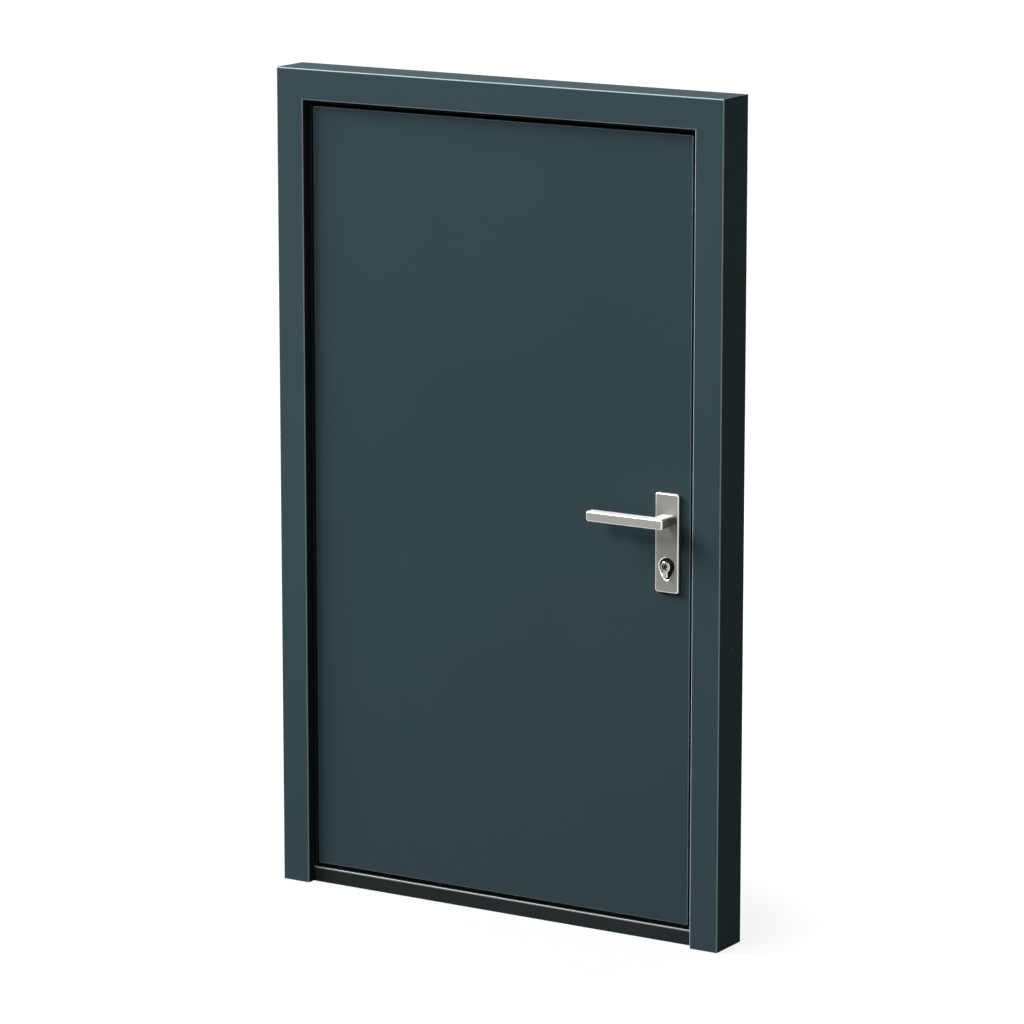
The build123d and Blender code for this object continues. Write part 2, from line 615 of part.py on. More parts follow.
# Strike plates on the lock jamb, with a window for each bolt
STRIKES = {
    "lower_strike_plate": ("lower_hook_bolt",),
    "strike_plate": ("dead_bolt", "latch_bolt"),
    "upper_strike_plate": ("upper_hook_bolt",),
}
for strike_name, bolt_names in STRIKES.items():
    strike_bottom = BOLTS[bolt_names[0]][0] - STRIKE_MARGIN
    strike_top = BOLTS[bolt_names[-1]][0] + STRIKE_MARGIN
    with BuildPart() as strike_plate:
        with BuildSketch(Plane.YZ.offset(OPENING_EDGE)):
            with Locations((0, (strike_bottom + strike_top) / 2)):
                RectangleRounded(FACEPLATE_WIDTH, strike_top - strike_bottom, STRIKE_CORNER)
        extrude(amount=-STRIKE_THICKNESS)
        for bolt_name in bolt_names:
            bolt_height, bolt_width, bolt_length = BOLTS[bolt_name]
            with Locations((OPENING_EDGE - STRIKE_THICKNESS / 2, 0, bolt_height)):
                Box(
                    STRIKE_THICKNESS,
                    bolt_width + WINDOW_PLAY,
                    bolt_length + WINDOW_PLAY,
                    mode=Mode.SUBTRACT,
                )
    save(strike_plate.part, strike_name)

# Barrel hinges on the inner side: the frame's knuckles hold the pin, the leaf's turns on it
HINGE_AXIS_PLANE = Plane(origin=(HINGE_X, HINGE_Y, 0), x_dir=(1, 0, 0), z_dir=(0, 0, 1))


def hinge_wing(side, bottom, top, plate_bottom, plate_top):
    """One wing: a flat plate on the profile and a bent arm that ends in a bored knuckle."""
    face = -HINGE_OFFSET
    with BuildPart() as wing:
        with BuildSketch(HINGE_AXIS_PLANE.offset(bottom)):
            with BuildLine():
                Polyline(
                    (side * WING_NEAR, face),
                    (side * ARM_INNER, -ARM_LOW),
                    (side * ARM_INNER, ARM_HIGH),
                    (side * (WING_NEAR + ARM_ROOT), face + WING_THICKNESS),
                    (side * (WING_NEAR + ARM_ROOT), face),
                    close=True,
                )
            make_face()
            Circle(KNUCKLE_RADIUS)
        extrude(amount=top - bottom)
        with BuildSketch(HINGE_AXIS_PLANE.offset(plate_bottom)):
            with Locations((side * (WING_NEAR + WING_FAR) / 2, face + WING_THICKNESS / 2)):
                Rectangle(WING_FAR - WING_NEAR, WING_THICKNESS)
        extrude(amount=plate_top - plate_bottom)
        with BuildSketch(HINGE_AXIS_PLANE.offset(bottom)):
            Circle(PIN_RADIUS + PIN_CLEARANCE)
        extrude(amount=top - bottom, mode=Mode.SUBTRACT)
    return wing.part


def rounded_wing(part, side):
    """The wing with the free corners of its plate rounded."""
    with BuildPart() as wing:
        add(part)
        free_edge = wing.faces().sort_by(Axis.X)[-1 if side > 0 else 0]
        fillet(free_edge.edges().filter_by(Axis.Y), WING_CORNER)
    return wing.part


for place, middle in HINGE_HEIGHTS.items():
    low = middle - HINGE_HEIGHT / 2
    high = middle + HINGE_HEIGHT / 2
    half_leaf = LEAF_KNUCKLE / 2
    half_gap = half_leaf + KNUCKLE_GAP
    with BuildPart() as frame_wing:
        add(hinge_wing(-1, low, middle - half_gap, low, high))
        add(hinge_wing(-1, middle + half_gap, high, low, high))
    save(rounded_wing(frame_wing.part, -1), f"{place}_hinge_frame_wing")
    leaf_wing = hinge_wing(1, middle - half_leaf, middle + half_leaf, low, high)
    save(rounded_wing(leaf_wing, 1), f"{place}_hinge_leaf_wing")
    with BuildPart() as pin:
        with BuildSketch(HINGE_AXIS_PLANE.offset(low)):
            Circle(PIN_RADIUS)
        extrude(amount=HINGE_HEIGHT)
        for cap_bottom in (low - PIN_CAP, high):
            with BuildSketch(HINGE_AXIS_PLANE.offset(cap_bottom)):
                Circle(KNUCKLE_RADIUS)
            extrude(amount=PIN_CAP)
        pin_ends = pin.faces().filter_by(Axis.Z).sort_by(Axis.Z)
        fillet(pin_ends[0].edges() + pin_ends[-1].edges(), PIN_CAP_RADIUS)
    save(pin.part, f"{place}_hinge_pin")
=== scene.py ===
"""Aluminium front door: finishes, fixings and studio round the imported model.

Units are metres. X runs right as seen from outside, Y inward, Z up from the floor.
"""
import json
import math

import bmesh
import bpy
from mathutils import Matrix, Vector


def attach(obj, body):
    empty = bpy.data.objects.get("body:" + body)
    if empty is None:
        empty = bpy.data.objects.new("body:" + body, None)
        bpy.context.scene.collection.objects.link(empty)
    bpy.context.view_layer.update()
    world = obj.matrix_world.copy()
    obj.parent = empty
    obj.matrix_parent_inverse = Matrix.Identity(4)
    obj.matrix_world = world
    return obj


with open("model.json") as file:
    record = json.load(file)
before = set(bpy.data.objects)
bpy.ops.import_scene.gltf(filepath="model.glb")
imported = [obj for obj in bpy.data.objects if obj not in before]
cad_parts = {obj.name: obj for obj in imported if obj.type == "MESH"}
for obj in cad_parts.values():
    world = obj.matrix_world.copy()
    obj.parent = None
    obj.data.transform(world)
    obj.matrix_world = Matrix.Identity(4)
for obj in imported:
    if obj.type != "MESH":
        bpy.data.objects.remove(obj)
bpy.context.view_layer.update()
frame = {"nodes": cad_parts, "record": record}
nodes = frame["nodes"]

# Camera at the photograph's viewing angle
VIEW_AZIMUTH = 31.617
VIEW_ELEVATION = 11.708
VIEW_DISTANCE = 12.349
VIEW_AIM = Vector((0.0143, 0.0, 1.0254))
VIEW_LENS = 174.91
VIEW_SENSOR = 36.0
VIEW_CLIP = 300.0

# Studio: light from all round, what metal reflects, and the floor's own glow near the door
AMBIENT_STRENGTH = 0.04
REFLECTED_STRENGTH = 0.80
FLOOR_SIZE = 120.0
FLOOR_DROP = 0.0006
FLOOR_GLOW_NEAR = 0.865
FLOOR_GLOW_START = 0.62
FLOOR_GLOW_RADIUS = 0.94
FLOOR_ALBEDO = 0.09


def srgb(red, green, blue):
    """Linear colour of an sRGB triple from 0 to 255, with alpha."""
    def linear(value):
        share = value / 255
        if share <= 0.04045:
            return share / 12.92
        return ((share + 0.055) / 1.055) ** 2.4
    return (linear(red), linear(green), linear(blue), 1.0)


# Shader node groups that several finishes share


def start_group(name, inputs, outputs):
    """An empty shader group with float inputs, given with their defaults, and float outputs."""
    group = bpy.data.node_groups.new(name, "ShaderNodeTree")
    group.interface.new_socket("Vector", in_out="INPUT", socket_type="NodeSocketVector")
    for label, value in inputs.items():
        socket = group.interface.new_socket(label, in_out="INPUT", socket_type="NodeSocketFloat")
        socket.default_value = value
    for label in outputs:
        group.interface.new_socket(label, in_out="OUTPUT", socket_type="NodeSocketFloat")
    entry = group.nodes.new("NodeGroupInput")
    result = group.nodes.new("NodeGroupOutput")
    return group, entry, result


def add_noise(tree, vector, scale, detail=2.0, roughness=0.5):
    """A noise texture in a node tree; scale is a number or a socket."""
    noise = tree.nodes.new("ShaderNodeTexNoise")
    noise.inputs["Detail"].default_value = detail
    noise.inputs["Roughness"].default_value = roughness
    tree.links.new(vector, noise.inputs["Vector"])
    if isinstance(scale, (int, float)):
        noise.inputs["Scale"].default_value = scale
    else:
        tree.links.new(scale, noise.inputs["Scale"])
    return noise.outputs["Fac"]


def add_range(tree, value, from_low, from_high, to_low, to_high):
    """A clamped map range in a node tree; the target limits are numbers or sockets."""
    node = tree.nodes.new("ShaderNodeMapRange")
    node.inputs["From Min"].default_value = from_low
    node.inputs["From Max"].default_value = from_high
    tree.links.new(value, node.inputs["Value"])
    for label, target in (("To Min", to_low), ("To Max", to_high)):
        if isinstance(target, (int, float)):
            node.inputs[label].default_value = target
        else:
            tree.links.new(target, node.inputs[label])
    return node.outputs["Result"]


def add_math(tree, operation, first, second):
    """A math node in a node tree; its operands are numbers or sockets."""
    node = tree.nodes.new("ShaderNodeMath")
    node.operation = operation
    for index, operand in enumerate((first, second)):
        if isinstance(operand, (int, float)):
            node.inputs[index].default_value = operand
        else:
            tree.links.new(operand, node.inputs[index])
    return node.outputs["Value"]


def make_orange_peel():
    """Fine dimples of a sprayed or moulded skin, with slow drifts in tone and gloss."""
    group, entry, result = start_group(
        "orange_peel",
        {"Grain Scale": 900.0, "Drift Scale": 1.6, "Gloss Low": 0.42, "Gloss High": 0.52},
        ("Height", "Tone", "Gloss"),
    )
    vector = entry.outputs["Vector"]
    grain = add_noise(group, vector, entry.outputs["Grain Scale"], 2.0)
    drift = add_noise(group, vector, entry.outputs["Drift Scale"], 3.0)
    speckle_scale = add_math(group, "MULTIPLY", entry.outputs["Grain Scale"], 0.45)
    speckle = add_noise(group, vector, speckle_scale, 1.0)
    slow = add_math(group, "MULTIPLY", drift, 0.7)
    fine = add_math(group, "MULTIPLY", speckle, 0.3)
    tone = add_range(group, add_math(group, "ADD", slow, fine), 0.35, 0.65, 0.0, 1.0)
    gloss = add_range(group, drift, 0.3, 0.7, entry.outputs["Gloss Low"], entry.outputs["Gloss High"])
    group.links.new(grain, result.inputs["Height"])
    group.links.new(tone, result.inputs["Tone"])
    group.links.new(gloss, result.inputs["Gloss"])
    return group


def make_brushing():
    """Long fine scratches along X of the vector that comes in."""
    group, entry, result = start_group(
        "brushing",
        {"Line Scale": 1400.0, "Stretch": 0.012, "Gloss Low": 0.28, "Gloss High": 0.42},
        ("Height", "Tone", "Gloss"),
    )
    stretch = group.nodes.new("ShaderNodeCombineXYZ")
    stretch.inputs["Y"].default_value = 1.0
    stretch.inputs["Z"].default_value = 1.0
    group.links.new(entry.outputs["Stretch"], stretch.inputs["X"])
    scaled = group.nodes.new("ShaderNodeVectorMath")
    scaled.operation = "MULTIPLY"
    group.links.new(entry.outputs["Vector"], scaled.inputs[0])
    group.links.new(stretch.outputs["Vector"], scaled.inputs[1])
    lines = add_noise(group, scaled.outputs["Vector"], entry.outputs["Line Scale"], 3.0, 0.6)
    tone = add_range(group, lines, 0.3, 0.7, 0.0, 1.0)
    gloss = add_range(group, lines, 0.3, 0.7, entry.outputs["Gloss Low"], entry.outputs["Gloss High"])
    group.links.new(lines, result.inputs["Height"])
    group.links.new(tone, result.inputs["Tone"])
    group.links.new(gloss, result.inputs["Gloss"])
    return group


# Normals toward the hinges and the head, how softly the painted edge highlight is taken off those edges,
# and which faces look up
HIGHLIGHT_CUT_SIDE = (-1.0, 0.0, 1.0)
HIGHLIGHT_CUT_BLEND = 0.3
UPPER_FROM = 0.7
UPPER_FULL = 0.95


def make_edge_mask():
    """One on rounded and bevelled edges, zero on the flat faces, from the object's own normal.

    The third input says how much of the painted edge highlight is taken off the edges that face up and
    toward the hinges, where the lamps light them.
    Upper is one on the faces that look up.
    """
    group, entry, result = start_group(
        "edge_mask", {"Start": 0.10, "Full": 0.40, "Spared": 0.0}, ("Mask", "Upper"),
    )
    size = group.nodes.new("ShaderNodeVectorMath")
    size.operation = "ABSOLUTE"
    group.links.new(entry.outputs["Vector"], size.inputs[0])
    parts = group.nodes.new("ShaderNodeSeparateXYZ")
    group.links.new(size.outputs["Vector"], parts.inputs["Vector"])
    across, inward, upward = parts.outputs
    oblique = add_math(
        group, "ADD",
        add_math(group, "MULTIPLY", inward, add_math(group, "ADD", across, upward)),
        add_math(group, "MULTIPLY", across, upward),
    )
    fade = group.nodes.new("ShaderNodeMapRange")
    group.links.new(oblique, fade.inputs["Value"])
    group.links.new(entry.outputs["Start"], fade.inputs["From Min"])
    group.links.new(entry.outputs["Full"], fade.inputs["From Max"])
    side = group.nodes.new("ShaderNodeVectorMath")
    side.operation = "DOT_PRODUCT"
    side.inputs[1].default_value = HIGHLIGHT_CUT_SIDE
    group.links.new(entry.outputs["Vector"], side.inputs[0])
    share = add_range(
        group, side.outputs["Value"], -HIGHLIGHT_CUT_BLEND, HIGHLIGHT_CUT_BLEND, 0.0, entry.outputs["Spared"],
    )
    kept = add_math(group, "SUBTRACT", 1.0, share)
    mask = add_math(group, "MULTIPLY", fade.outputs["Result"], kept)
    group.links.new(mask, result.inputs["Mask"])
    signed = group.nodes.new("ShaderNodeSeparateXYZ")
    group.links.new(entry.outputs["Vector"], signed.inputs["Vector"])
    top = add_range(group, signed.outputs["Z"], UPPER_FROM, UPPER_FULL, 0.0, 1.0)
    group.links.new(top, result.inputs["Upper"])
    return group


ORANGE_PEEL = make_orange_peel()
BRUSHING = make_brushing()
EDGE_MASK = make_edge_mask()


# Finishes


def start_finish(name, metallic=0.0, specular=0.5):
    """A material with its Principled shader, and the object coordinates that patterns read."""
    material = bpy.data.materials.new(name)
    material.use_nodes = True
    tree = material.node_tree
    shader = tree.nodes["Principled BSDF"]
    shader.inputs["Metallic"].default_value = metallic
    shader.inputs["Specular IOR Level"].default_value = specular
    coordinates = tree.nodes.new("ShaderNodeTexCoord")
    return material, tree, shader, coordinates


def add_group(tree, group, vector, **values):
    """One shared group in a material, with its own values (underscores stand for spaces)."""
    node = tree.nodes.new("ShaderNodeGroup")
    node.node_tree = group
    tree.links.new(vector, node.inputs["Vector"])
    for label, value in values.items():
        node.inputs[label.replace("_", " ")].default_value = value
    return node


def tint(tree, tone, dark, light):
    """A colour between two, by a tone from 0 to 1; each is a colour or a socket."""
    mix = tree.nodes.new("ShaderNodeMix")
    mix.data_type = "RGBA"
    for label, colour in (("A", dark), ("B", light)):
        if isinstance(colour, tuple):
            mix.inputs[label].default_value = colour
        else:
            tree.links.new(colour, mix.inputs[label])
    tree.links.new(tone, mix.inputs["Factor"])
    return mix.outputs["Result"]


def roughen(tree, shader, height, strength, distance):
    """Bump from a height, into the shader's normal."""
    bump = tree.nodes.new("ShaderNodeBump")
    bump.inputs["Strength"].default_value = strength
    bump.inputs["Distance"].default_value = distance
    tree.links.new(height, bump.inputs["Height"])
    tree.links.new(bump.outputs["Normal"], shader.inputs["Normal"])


def turned(tree, vector, turn):
    """The vector turned so that its X lies along the wanted direction, angles in degrees."""
    mapping = tree.nodes.new("ShaderNodeMapping")
    mapping.inputs["Rotation"].default_value = [math.radians(angle) for angle in turn]
    tree.links.new(vector, mapping.inputs["Vector"])
    return mapping.outputs["Vector"]


# Bump depths in metres, and the painted edge highlight: start and full of the edge mask, and what the
# edges toward the hinges and the head lose of it
COAT_BUMP_DEPTH = 0.0003
BRUSH_BUMP_DEPTH = 0.0001
ALL_EDGES = (0.10, 0.40, 0.0)
LEAF_EDGES = (0.20, 0.42, 0.85)


def sprayed_finish(name, dark, light, edge, specular, bump, edge_highlight=ALL_EDGES, **values):
    """A coated or moulded skin, with a painted highlight along its rounded edges."""
    material, tree, shader, coordinates = start_finish(name, specular=specular)
    skin = add_group(tree, ORANGE_PEEL, coordinates.outputs["Object"], **values)
    start, full, highlight_cut = edge_highlight
    # The edge mask takes part of the painted edge highlight off the edges that face the lamps.
    edges = add_group(
        tree, EDGE_MASK, coordinates.outputs["Normal"], Start=start, Full=full, Spared=highlight_cut,
    )
    flat = tint(tree, skin.outputs["Tone"], dark, light)
    # Painted highlight: the edge colour goes on the rounded edges.
    colour = tint(tree, edges.outputs["Mask"], flat, edge)
    tree.links.new(colour, shader.inputs["Base Color"])
    tree.links.new(skin.outputs["Gloss"], shader.inputs["Roughness"])
    roughen(tree, shader, skin.outputs["Height"], bump, COAT_BUMP_DEPTH)
    return material


def brushed_finish(name, dark, light, edge, polish, turn, bump, metallic=1.0, top_highlight=0.0, **values):
    """A metal with fine brushing along one direction, its edges polished and given a painted highlight.

    The top share says how far the faces that look up take the bright edge colour, a painted highlight.
    """
    material, tree, shader, coordinates = start_finish(name, metallic=metallic)
    lines = add_group(tree, BRUSHING, turned(tree, coordinates.outputs["Object"], turn), **values)
    edges = add_group(tree, EDGE_MASK, coordinates.outputs["Normal"])
    flat = tint(tree, lines.outputs["Tone"], dark, light)
    # Painted highlight: the bright edge colour goes on the edges and, by the top share, on the faces
    # that look up.
    top_highlight_share = add_math(tree, "MULTIPLY", edges.outputs["Upper"], top_highlight)
    colour = tint(tree, add_math(tree, "MAXIMUM", edges.outputs["Mask"], top_highlight_share), flat, edge)
    if metallic < 1.0:
        metal = add_range(tree, edges.outputs["Mask"], 0.0, 1.0, metallic, 1.0)
        tree.links.new(metal, shader.inputs["Metallic"])
    gloss = add_range(tree, edges.outputs["Mask"], 0.0, 1.0, lines.outputs["Gloss"], polish)
    tree.links.new(colour, shader.inputs["Base Color"])
    tree.links.new(gloss, shader.inputs["Roughness"])
    roughen(tree, shader, lines.outputs["Height"], bump, BRUSH_BUMP_DEPTH)
    return material


# Brushing directions
ALONG_X = (0, 0, 0)
ALONG_Z = (0, 90, 0)

# Each finish's third colour is a painted highlight for its rounded edges.
anthracite_coat = sprayed_finish(
    "anthracite_coat", srgb(54, 69, 73), srgb(59, 74, 78), srgb(164, 180, 184),
    specular=0.004, bump=0.06,
    Grain_Scale=700.0, Drift_Scale=1.4, Gloss_Low=0.45, Gloss_High=0.55,
)
# The leaf's coat is a little darker than the frame's: painted shade on the set-back leaf. Its edge
# highlight is lighter, and is taken off toward the hinges and the head.
leaf_coat = sprayed_finish(
    "leaf_coat", srgb(51, 66, 70), srgb(55, 70, 74), srgb(196, 210, 214),
    specular=0.004, bump=0.06, edge_highlight=LEAF_EDGES,
    Grain_Scale=760.0, Drift_Scale=1.2, Gloss_Low=0.46, Gloss_High=0.56,
)
fitting_coat = sprayed_finish(
    "fitting_coat", srgb(54, 69, 73), srgb(59, 74, 78), srgb(60, 75, 79),
    specular=0.02, bump=0.06,
    Grain_Scale=700.0, Drift_Scale=1.4, Gloss_Low=0.45, Gloss_High=0.55,
)
black_rubber = sprayed_finish(
    "black_rubber", srgb(13, 16, 18), srgb(19, 23, 25), srgb(22, 26, 28),
    specular=0.1, bump=0.2,
    Grain_Scale=1500.0, Drift_Scale=8.0, Gloss_Low=0.7, Gloss_High=0.85,
)
dark_polymer = sprayed_finish(
    "dark_polymer", srgb(31, 36, 37), srgb(36, 42, 43), srgb(52, 59, 60),
    specular=0.05, bump=0.15,
    Grain_Scale=1100.0, Drift_Scale=4.0, Gloss_Low=0.5, Gloss_High=0.62,
)
satin_aluminium = brushed_finish(
    "satin_aluminium", srgb(112, 114, 116), srgb(126, 128, 130), srgb(130, 132, 134),
    polish=0.5, turn=ALONG_X, bump=0.05,
    Line_Scale=1200.0, Stretch=0.01, Gloss_Low=0.46, Gloss_High=0.58,
)
brushed_plate = brushed_finish(
    "brushed_plate", srgb(125, 124, 121), srgb(141, 140, 136), srgb(248, 247, 244),
    polish=0.36, turn=ALONG_Z, bump=0.08, metallic=0.4,
    Line_Scale=1600.0, Stretch=0.01, Gloss_Low=0.54, Gloss_High=0.66,
)
# The lever's upward faces are painted nearly as bright as its edges: painted highlight.
brushed_lever = brushed_finish(
    "brushed_lever", srgb(144, 143, 140), srgb(160, 159, 155), srgb(248, 247, 244),
    polish=0.36, turn=ALONG_X, bump=0.08, metallic=0.5, top_highlight=0.85,
    Line_Scale=1600.0, Stretch=0.01, Gloss_Low=0.52, Gloss_High=0.64,
)
lock_steel = brushed_finish(
    "lock_steel", srgb(178, 177, 175), srgb(196, 195, 193), srgb(214, 213, 211),
    polish=0.3, turn=ALONG_Z, bump=0.06,
    Line_Scale=1300.0, Stretch=0.01, Gloss_Low=0.28, Gloss_High=0.4,
)
nickel = brushed_finish(
    "nickel", srgb(164, 162, 157), srgb(184, 182, 177), srgb(248, 246, 241),
    polish=0.2, turn=ALONG_X, bump=0.03,
    Line_Scale=2200.0, Stretch=0.4, Gloss_Low=0.2, Gloss_High=0.3,
)
plug_nickel = brushed_finish(
    "plug_nickel", srgb(74, 73, 70), srgb(94, 93, 89), srgb(236, 234, 229),
    polish=0.22, turn=ALONG_X, bump=0.03,
    Line_Scale=2200.0, Stretch=0.4, Gloss_Low=0.24, Gloss_High=0.34,
)
# The guard is dark steel, deepened to near black to also stand for the shade in the plate's recess:
# partly its own colour, partly painted shade.
dark_steel = brushed_finish(
    "dark_steel", srgb(22, 22, 22), srgb(32, 32, 32), srgb(52, 52, 52),
    polish=0.4, turn=ALONG_Z, bump=0.05,
    Line_Scale=1800.0, Stretch=0.05, Gloss_Low=0.4, Gloss_High=0.55,
)

FINISH_OF_SLOT = {
    "powder_coat": anthracite_coat,
    "gasket": black_rubber,
    "threshold_base": dark_polymer,
    "tread": satin_aluminium,
    "stainless": brushed_plate,
    "lock_steel": lock_steel,
    "cylinder": nickel,
    "guard": dark_steel,
    "hinge": fitting_coat,
    "hinge_pin": lock_steel,
}
LEAF_COATED = ("outer_skin", "inner_skin", "hinge_stile", "lock_stile", "top_rail", "bottom_rail")


def dress_nodes():
    """Give every CAD node its finish, by its slot in the record."""
    for entry in frame["record"]["subparts"]:
        finish = FINISH_OF_SLOT[entry["material_slot"]]
        if "lever" in entry["node"] and entry["material_slot"] == "stainless":
            finish = brushed_lever
        if entry["node"].endswith("cylinder_plug"):
            finish = plug_nickel
        if entry["node"] in LEAF_COATED:
            finish = leaf_coat
        mesh = nodes[entry["node"]].data
        mesh.materials.clear()
        mesh.materials.append(finish)


dress_nodes()


# Fixings, modelled once each and copied to their places

TOUCHING = 1e-6
SMOOTH_BELOW = math.radians(32)
# Screw heads: shares of radius and crown for each step, then each turn from a lobe and its drawing in
CROWN_STEPS = ((0.18, 0.55), (0.14, 0.25), (0.14, 0.20))
LOBE_SHARES = ((15.0, 0.93), (22.5, 0.80), (30.0, 0.72))
LOBE_SPACING = 60.0
CAP_ROUNDING = 0.00025
CAP_STEP = 0.00015
CAP_HOLLOW = 0.002


def pick_faces(piece, wanted):
    """Select, in edit mode, the faces that pass a test and nothing else."""
    bpy.ops.mesh.select_all(action="DESELECT")
    bpy.ops.mesh.select_mode(type="FACE")
    shape = bmesh.from_edit_mesh(piece.data)
    for face in shape.faces:
        face.select_set(wanted(face))
    bmesh.update_edit_mesh(piece.data)


def pick_edges(piece, wanted):
    """Select, in edit mode, the edges that pass a test and nothing else."""
    bpy.ops.mesh.select_all(action="DESELECT")
    bpy.ops.mesh.select_mode(type="EDGE")
    shape = bmesh.from_edit_mesh(piece.data)
    for edge in shape.edges:
        edge.select_set(wanted(edge))
    bmesh.update_edit_mesh(piece.data)


def pick_corners(piece, wanted):
    """Select, in edit mode, the vertices that pass a test and nothing else."""
    bpy.ops.mesh.select_all(action="DESELECT")
    bpy.ops.mesh.select_mode(type="VERT")
    shape = bmesh.from_edit_mesh(piece.data)
    for corner in shape.verts:
        corner.select_set(wanted(corner.co))
    bmesh.update_edit_mesh(piece.data)


def start_disc(name, radius, height, sides):
    """A round blank on the XY plane, open for editing."""
    bpy.ops.object.select_all(action="DESELECT")
    bpy.ops.mesh.primitive_cylinder_add(
        vertices=sides, radius=radius, depth=height, location=(0, 0, height / 2)
    )
    blank = bpy.context.object
    blank.name = name
    bpy.ops.object.transform_apply(location=True, rotation=True, scale=True)
    bpy.ops.object.mode_set(mode="EDIT")
    return blank


def close_piece(piece, finish):
    """Leave edit mode, smooth the round faces and give the piece its finish."""
    bpy.ops.mesh.select_all(action="SELECT")
    bpy.ops.mesh.normals_make_consistent(inside=False)
    bpy.ops.object.mode_set(mode="OBJECT")
    bpy.ops.object.shade_smooth_by_angle(angle=SMOOTH_BELOW)
    piece.data.materials.clear()
    piece.data.materials.append(finish)
    return piece


def sink(depth):
    """Extrude what is selected downward."""
    bpy.ops.mesh.extrude_region_move(TRANSFORM_OT_translate={"value": (0, 0, -depth)})


def on_top(face):
    """True for a face that looks straight up."""
    return face.normal.z > 0.99


def is_at_lobe(place, height, turn):
    """True for a point of the top ring that lies this many degrees from the nearest lobe."""
    angle = math.degrees(math.atan2(place.y, place.x)) % LOBE_SPACING
    from_lobe = min(angle, LOBE_SPACING - angle)
    return abs(place.z - height) < TOUCHING and abs(from_lobe - turn) < 1.0


def model_screw(name, radius, rim, crown):
    """A raised countersunk head with a six-lobed recess, seated on the XY plane."""
    screw = start_disc(name, radius, rim, 48)
    pick_faces(screw, on_top)
    for inward, upward in CROWN_STEPS:
        bpy.ops.mesh.inset(thickness=inward * radius, depth=upward * crown)
    top = rim + crown
    for turn, share in LOBE_SHARES:
        pick_corners(screw, lambda place: is_at_lobe(place, top, turn))
        bpy.ops.transform.resize(value=(share, share, 1.0), center_override=(0, 0, top))
    pick_faces(screw, lambda face: on_top(face) and face.calc_center_median().z > top - TOUCHING)
    sink(0.9 * top)
    pick_edges(screw, lambda edge: all(abs(end.co.z - rim) < TOUCHING for end in edge.verts))
    bpy.ops.mesh.bevel(offset=0.3 * rim, segments=2, affect="EDGES")
    return close_piece(screw, lock_steel)


def model_grub(name, radius, height):
    """A set screw with a hexagon socket."""
    grub = start_disc(name, radius, height, 36)
    pick_faces(grub, on_top)
    bpy.ops.mesh.inset(thickness=0.12 * radius, depth=0.2 * height)
    bpy.ops.mesh.inset(thickness=0.34 * radius)
    pick_faces(grub, lambda face: on_top(face) and len(face.verts) > 4)
    sink(0.9 * height)
    return close_piece(grub, lock_steel)


def model_cap(name, radius, height):
    """A plug for an anchor hole, level with the profile, with a fine step round its middle."""
    cap = start_disc(name, radius, height, 48)
    bpy.ops.mesh.select_all(action="SELECT")
    bpy.ops.transform.translate(value=(0, 0, -height))
    pick_edges(cap, lambda edge: all(abs(end.co.z) < TOUCHING for end in edge.verts))
    bpy.ops.mesh.bevel(offset=CAP_ROUNDING, segments=2, affect="EDGES")
    pick_faces(cap, on_top)
    bpy.ops.mesh.inset(thickness=0.25 * radius)
    sink(CAP_STEP)
    pick_faces(cap, lambda face: face.normal.z < -0.99)
    bpy.ops.mesh.inset(thickness=0.2 * radius)
    sink(CAP_HOLLOW)
    return close_piece(cap, fitting_coat)


def model_washer(name, radius, bore, height):
    """A bearing ring between two hinge knuckles, bored for the pin."""
    washer = start_disc(name, radius, height, 64)
    rounding = 0.2 * height
    pick_edges(washer, lambda edge: abs(edge.verts[0].co.z - edge.verts[1].co.z) < TOUCHING)
    bpy.ops.mesh.bevel(offset=rounding, segments=2, affect="EDGES")
    pick_faces(washer, lambda face: abs(face.normal.z) > 0.99)
    bpy.ops.mesh.inset(thickness=radius - rounding - bore, use_individual=True)
    bpy.ops.mesh.delete(type="FACE")
    pick_edges(washer, lambda edge: edge.is_boundary)
    bpy.ops.mesh.bridge_edge_loops()
    return close_piece(washer, dark_polymer)


def set_copies(master, label, places, facing, body):
    """Copies of a finished piece at several places, turned to face one way."""
    turn = Vector((0, 0, 1)).rotation_difference(Vector(facing)).to_euler()
    for number, place in enumerate(places, 1):
        bpy.ops.object.select_all(action="DESELECT")
        master.select_set(True)
        bpy.context.view_layer.objects.active = master
        bpy.ops.object.duplicate(linked=False)
        piece = bpy.context.object
        piece.name = f"{label}_{number}"
        piece.data.name = piece.name
        piece.rotation_euler = turn
        piece.location = place
        bpy.ops.object.transform_apply(location=True, rotation=True, scale=True)
        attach(piece, body)


# Places and sizes of the fixings
OUTSIDE_X = 0.640
JAMB_INNER_X = 0.562
ANCHOR_Y = 0.002
ANCHOR_HEIGHTS = (0.200, 0.750, 1.350, 1.900)
HINGE_AXIS = (-0.584, 0.076)
HINGE_HEIGHTS = {"lower": 0.260, "middle": 1.040, "upper": 1.820}
WING_FACE_Y = 0.064
WING_SCREW_REACH = 0.037
WING_SCREW_OFFSETS = (-0.045, -0.015, 0.015, 0.045)
KNUCKLE_GAP_MIDDLE = 0.0215
FACEPLATE_X = 0.545
FACEPLATE_SCREWS = (0.200, 0.440, 0.660, 0.850, 1.008, 1.150, 1.380, 1.600, 1.840)
STRIKE_X = 0.5595
STRIKE_SCREWS = (0.298, 0.362, 0.918, 1.008, 1.098, 1.678, 1.742)
HANDLE_X = 0.485
INSIDE_PLATE_Y = 0.070
PLATE_SCREWS = (0.899, 1.113)
NECK_UNDERSIDE = 1.053
OUTSIDE_GRUB_Y = -0.060
INSIDE_GRUB_Y = 0.081
WING_SCREW = {"radius": 0.0046, "rim": 0.0005, "crown": 0.0013}
EDGE_SCREW = {"radius": 0.0038, "rim": 0.0004, "crown": 0.0010}
ANCHOR_CAP = {"radius": 0.00545, "height": 0.0026}
WASHER = {"radius": 0.0093, "bore": 0.0054, "height": 0.0008}
GRUB = {"radius": 0.0025, "height": 0.0005}


